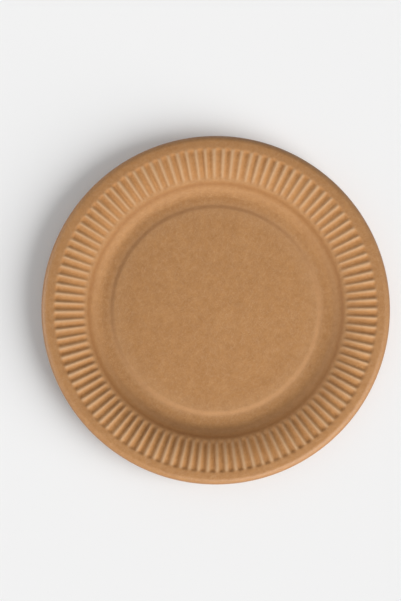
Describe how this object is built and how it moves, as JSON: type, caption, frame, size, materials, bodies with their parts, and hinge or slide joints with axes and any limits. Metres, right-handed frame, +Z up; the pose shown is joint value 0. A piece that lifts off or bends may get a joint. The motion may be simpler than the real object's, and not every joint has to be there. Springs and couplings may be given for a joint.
{
  "type": "paper plate",
  "caption": "Round disposable plate pressed from a sheet of brown board, with a raised centre panel, a fluted flange and a rolled-down edge.",
  "frame": {"origin": "centre of the foot ring's underside, on the surface the plate stands on", "axes": "+Z up along the plate's own axis; +X passes over the middle of one flute's crest"},
  "size_m": [0.18, 0.18, 0.0141],
  "materials": {
    "kraft_board": "matt uncoated board with fine fibre speckle"
  },
  "bodies": {
    "root": {"plate": "kraft_board"}
  },
  "joints": []
}
